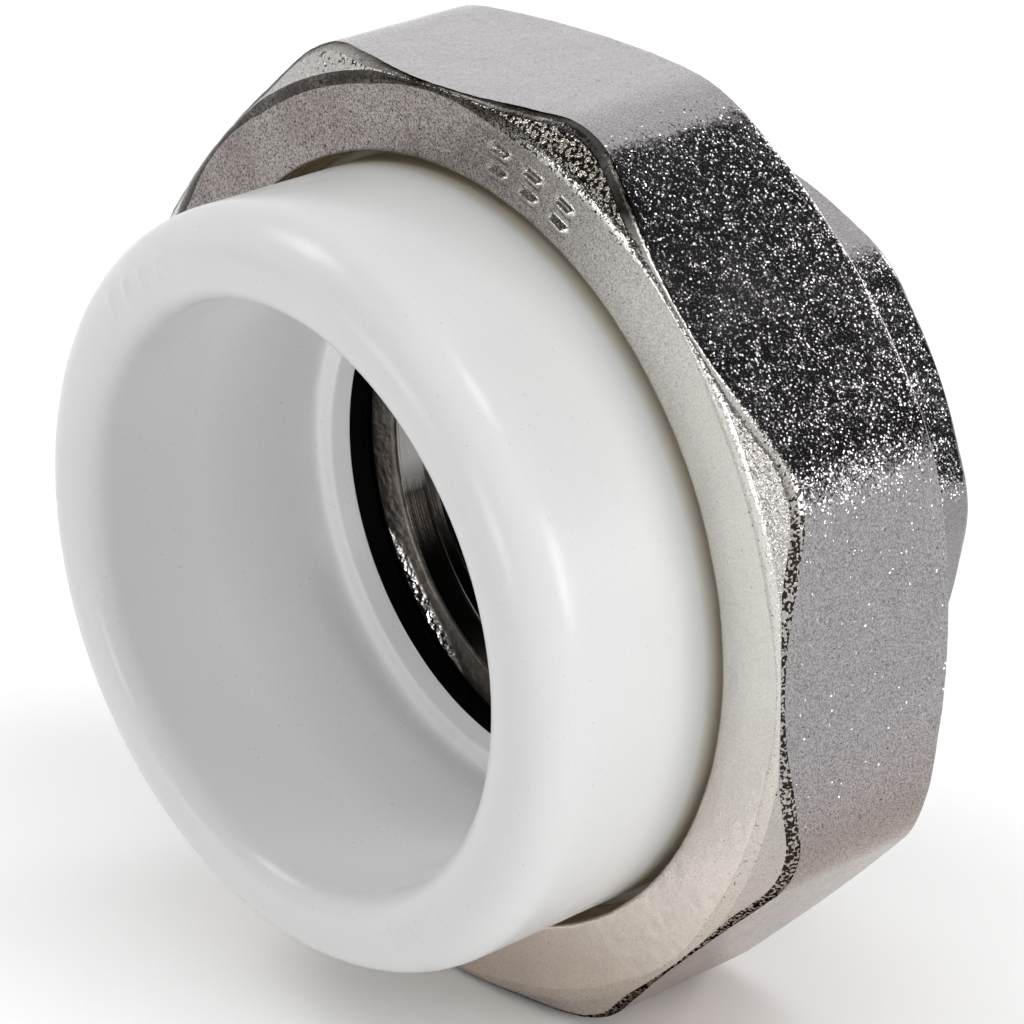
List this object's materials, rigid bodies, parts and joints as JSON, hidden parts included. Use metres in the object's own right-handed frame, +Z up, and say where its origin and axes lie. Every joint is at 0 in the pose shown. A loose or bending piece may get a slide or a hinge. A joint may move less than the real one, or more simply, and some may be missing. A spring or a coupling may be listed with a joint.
{
  "type": "pipe union fitting",
  "caption": "Pipe union with a white plastic fusion socket held to a threaded metal tail by an octagonal nut, with a flat gasket between them.",
  "frame": {"origin": "on the waterway's axis, midway between the socket's mouth and the tail's far end", "axes": "+Y along the waterway from the plastic mouth to the metal tail, +Z up from the nut flat that the fitting lies on"},
  "size_m": [0.0794, 0.0524, 0.0794],
  "materials": {
    "white_plastic": "glossy moulded polypropylene",
    "blasted_plating": "brass, bead-blasted and nickel plated",
    "black_rubber": "plain moulded rubber",
    "tail_plating": "brass, nickel plated"
  },
  "bodies": {
    "tail": {"threaded_tail": "tail_plating", "sealing_gasket": "black_rubber"},
    "socket": {"socket_end": "white_plastic"},
    "nut": {"union_nut": "blasted_plating"}
  },
  "joints": [
    {"name": "socket_slide", "type": "slide", "parent": "tail", "child": "socket", "axis": [0, -1, 0], "range_m": [0, 0.006]},
    {"name": "nut_turn", "type": "hinge", "parent": "socket", "child": "nut", "pos_m": [0, 0.00095, 0], "axis": [0, -1, 0], "range_deg": [0, 1080]}
  ],
  "couplings": [
    {"joint": "socket_slide", "follows": "nut_turn", "m_per_rad": 0.00031831}
  ]
}
